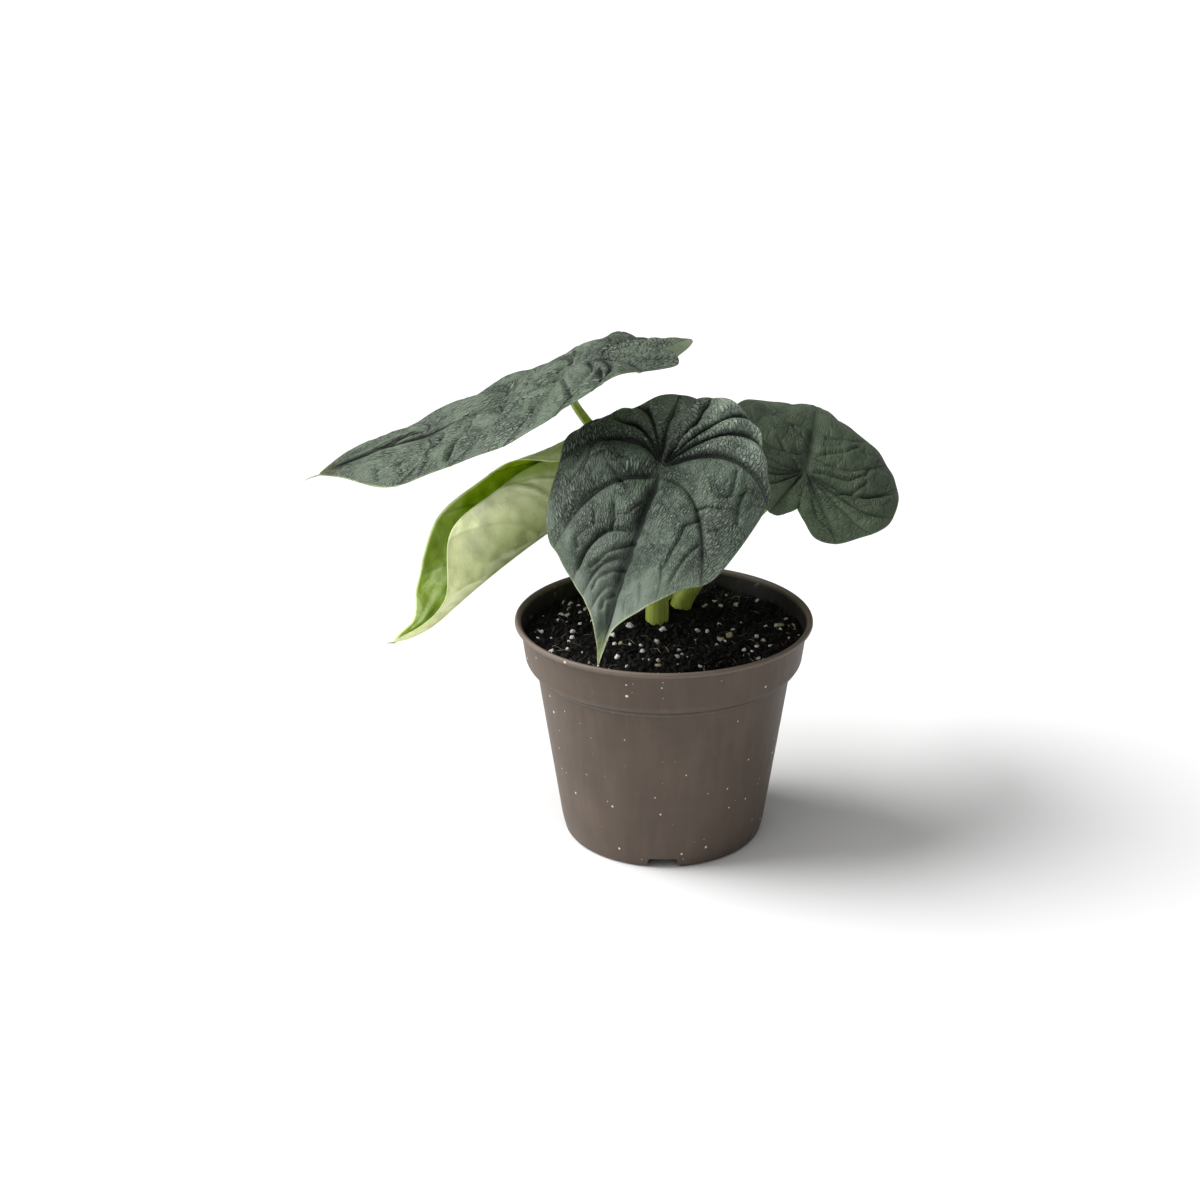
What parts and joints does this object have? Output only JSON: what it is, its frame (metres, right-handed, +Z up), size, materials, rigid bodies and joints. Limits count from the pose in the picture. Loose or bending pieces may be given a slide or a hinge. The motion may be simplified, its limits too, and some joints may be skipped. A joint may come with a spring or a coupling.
{
  "type": "potted alocasia melo",
  "caption": "Young potted alocasia plant: thick, quilted, heart-shaped leaves and a new rolled leaf on slender arching stalks, standing in peaty soil in a tapered round nursery pot.",
  "frame": {"origin": "centre of the pot's flat underside, on the surface it stands on", "axes": "+Z up along the pot's axis; -Y is the front, towards the picture's viewer; +X is to the viewer's right"},
  "size_m": [0.2374, 0.1702, 0.198],
  "materials": {
    "pot": "thin moulded taupe plastic, satin matte, with faint moulding rings and dust",
    "soil": null,
    "stalk": null,
    "young_stalk": null,
    "leaf": null,
    "new_leaf": null
  },
  "bodies": {
    "root": {"pot": "pot", "soil": "soil", "stalk_left": "stalk", "stalk_front": "stalk", "stalk_right": "stalk", "stalk_rolled": "young_stalk", "blade_left": "leaf", "blade_front": "leaf", "blade_right": "leaf", "blade_rolled": "new_leaf"}
  },
  "joints": []
}
